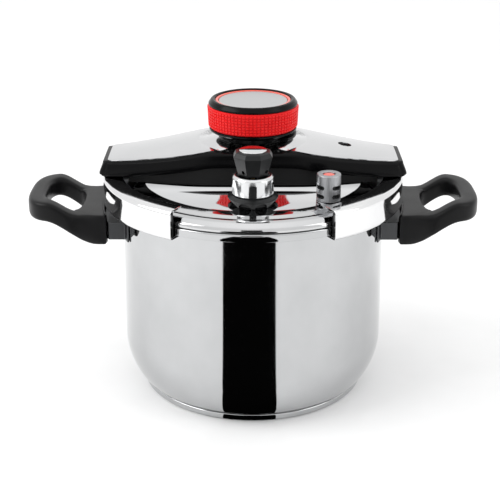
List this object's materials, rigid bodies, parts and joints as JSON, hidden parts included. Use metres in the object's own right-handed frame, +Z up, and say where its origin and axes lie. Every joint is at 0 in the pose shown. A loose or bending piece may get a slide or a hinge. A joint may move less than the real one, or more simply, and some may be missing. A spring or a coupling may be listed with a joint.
{
  "type": "pressure cooker",
  "caption": "Round steel pressure cooker with a red-gripped top knob, sliding lid jaws, steam valve and two black loop side handles.",
  "frame": {"origin": "centre of the pot's round base, on the surface it stands on", "axes": "+Z up along the pot's and the knob's axis; +X towards the right side handle along the bridge; the steam valve is on the -Y side, which is the front"},
  "size_m": [0.3776, 0.24, 0.2496],
  "materials": {
    "pot_shell": "mirror-polished stainless steel",
    "base_capsule": "mirror-polished stainless steel",
    "base_core_disc": "plain aluminium",
    "lid_disc": "mirror-polished stainless steel",
    "sealing_gasket": "grey silicone rubber",
    "bridge_beam": "black powder-coated steel",
    "bridge_housing": "fine-grained black moulding",
    "left_cover_plate": "mirror-polished stainless steel",
    "right_cover_plate": "mirror-polished stainless steel",
    "left_guide_stud": "satin stainless steel",
    "right_guide_stud": "satin stainless steel",
    "left_bridge_screw": "satin stainless steel",
    "right_bridge_screw": "satin stainless steel",
    "knob_axle": "satin stainless steel",
    "cam_disc": "satin stainless steel",
    "knob_shaft": "satin stainless steel",
    "knob_body": "fine-grained black moulding",
    "knob_grip": "soft red thermoplastic rubber",
    "knob_bezel": "glossy black moulding",
    "knob_accent_ring": "glossy orange-red moulding",
    "knob_cap": "satin stainless steel",
    "knob_nut": "satin stainless steel",
    "knob_pointer": "fine-grained black moulding",
    "valve_seat": "turned brass",
    "valve_gasket": "grey silicone rubber",
    "valve_nut": "satin stainless steel",
    "valve_foot": "fine-grained black moulding",
    "valve_collar": "mirror-polished stainless steel",
    "valve_selector": "fine-grained black moulding",
    "valve_cap": "mirror-polished stainless steel",
    "valve_needle": "turned brass",
    "valve_spring": "satin stainless steel",
    "indicator_housing": "satin grey lacquered metal",
    "indicator_pin": "glossy orange-red moulding",
    "indicator_gasket": "grey silicone rubber",
    "indicator_nut": "satin stainless steel",
    "lock_pin": "satin stainless steel",
    "lock_pin_sleeve": "grey silicone rubber",
    "left_jaw": "mirror-polished stainless steel",
    "left_jaw_liner": "fine-grained black moulding",
    "left_jaw_arm": "satin stainless steel",
    "left_jaw_rivet_front": "satin stainless steel",
    "left_jaw_rivet_rear": "satin stainless steel",
    "left_drive_pin": "satin stainless steel",
    "left_handle": "satin black phenolic moulding",
    "left_bracket": "mirror-polished stainless steel",
    "left_handle_screw": "satin stainless steel",
    "right_jaw": "mirror-polished stainless steel",
    "right_jaw_liner": "fine-grained black moulding",
    "right_jaw_arm": "satin stainless steel",
    "right_jaw_rivet_front": "satin stainless steel",
    "right_jaw_rivet_rear": "satin stainless steel",
    "right_drive_pin": "satin stainless steel",
    "right_handle": "satin black phenolic moulding",
    "right_bracket": "mirror-polished stainless steel",
    "right_handle_screw": "satin stainless steel"
  },
  "bodies": {
    "cooker": {"pot_shell": "pot_shell", "base_capsule": "base_capsule", "base_core_disc": "base_core_disc", "lid_disc": "lid_disc", "sealing_gasket": "sealing_gasket", "bridge_beam": "bridge_beam", "bridge_housing": "bridge_housing", "left_cover_plate": "left_cover_plate", "right_cover_plate": "right_cover_plate", "left_guide_stud": "left_guide_stud", "right_guide_stud": "right_guide_stud", "left_bridge_screw": "left_bridge_screw", "right_bridge_screw": "right_bridge_screw", "knob_axle": "knob_axle", "valve_seat": "valve_seat", "valve_gasket": "valve_gasket", "valve_nut": "valve_nut", "valve_foot": "valve_foot", "valve_collar": "valve_collar", "valve_spring": "valve_spring", "indicator_housing": "indicator_housing", "indicator_gasket": "indicator_gasket", "indicator_nut": "indicator_nut", "lock_pin_sleeve": "lock_pin_sleeve", "left_handle": "left_handle", "left_bracket": "left_bracket", "left_handle_screw": "left_handle_screw", "right_handle": "right_handle", "right_bracket": "right_bracket", "right_handle_screw": "right_handle_screw"},
    "knob": {"cam_disc": "cam_disc", "knob_shaft": "knob_shaft", "knob_body": "knob_body", "knob_grip": "knob_grip", "knob_bezel": "knob_bezel", "knob_accent_ring": "knob_accent_ring", "knob_cap": "knob_cap", "knob_nut": "knob_nut", "knob_pointer": "knob_pointer"},
    "valve_selector": {"valve_selector": "valve_selector", "valve_cap": "valve_cap"},
    "valve_needle": {"valve_needle": "valve_needle"},
    "indicator_pin": {"indicator_pin": "indicator_pin"},
    "lock_pin": {"lock_pin": "lock_pin"},
    "left_jaw": {"left_jaw": "left_jaw", "left_jaw_liner": "left_jaw_liner", "left_jaw_arm": "left_jaw_arm", "left_jaw_rivet_front": "left_jaw_rivet_front", "left_jaw_rivet_rear": "left_jaw_rivet_rear", "left_drive_pin": "left_drive_pin"},
    "right_jaw": {"right_jaw": "right_jaw", "right_jaw_liner": "right_jaw_liner", "right_jaw_arm": "right_jaw_arm", "right_jaw_rivet_front": "right_jaw_rivet_front", "right_jaw_rivet_rear": "right_jaw_rivet_rear", "right_drive_pin": "right_drive_pin"}
  },
  "joints": [
    {"name": "knob_turn", "type": "hinge", "parent": "cooker", "child": "knob", "pos_m": [0, 0, 0.1868], "axis": [0, 0, 1], "range_deg": [0, 120]},
    {"name": "left_jaw_slide", "type": "slide", "parent": "cooker", "child": "left_jaw", "axis": [-1, 0, 0], "range_m": [0, 0.01401]},
    {"name": "right_jaw_slide", "type": "slide", "parent": "cooker", "child": "right_jaw", "axis": [1, 0, 0], "range_m": [0, 0.01401]},
    {"name": "valve_turn", "type": "hinge", "parent": "cooker", "child": "valve_selector", "pos_m": [0, -0.073, 0.2067], "axis": [0, 0, 1], "range_deg": [0, 90]},
    {"name": "needle_lift", "type": "slide", "parent": "cooker", "child": "valve_needle", "axis": [0, 0, 1], "range_m": [0, 0.002], "deforming": ["valve_spring"]},
    {"name": "indicator_rise", "type": "slide", "parent": "cooker", "child": "indicator_pin", "axis": [0, 0, 1], "range_m": [0, 0.004]},
    {"name": "lock_pin_rise", "type": "slide", "parent": "cooker", "child": "lock_pin", "axis": [0, 0, 1], "range_m": [0, 0.003]}
  ],
  "couplings": [
    {"joint": "left_jaw_slide", "follows": "knob_turn", "m_per_rad": 0.0066845},
    {"joint": "right_jaw_slide", "follows": "knob_turn", "m_per_rad": 0.0066845}
  ]
}
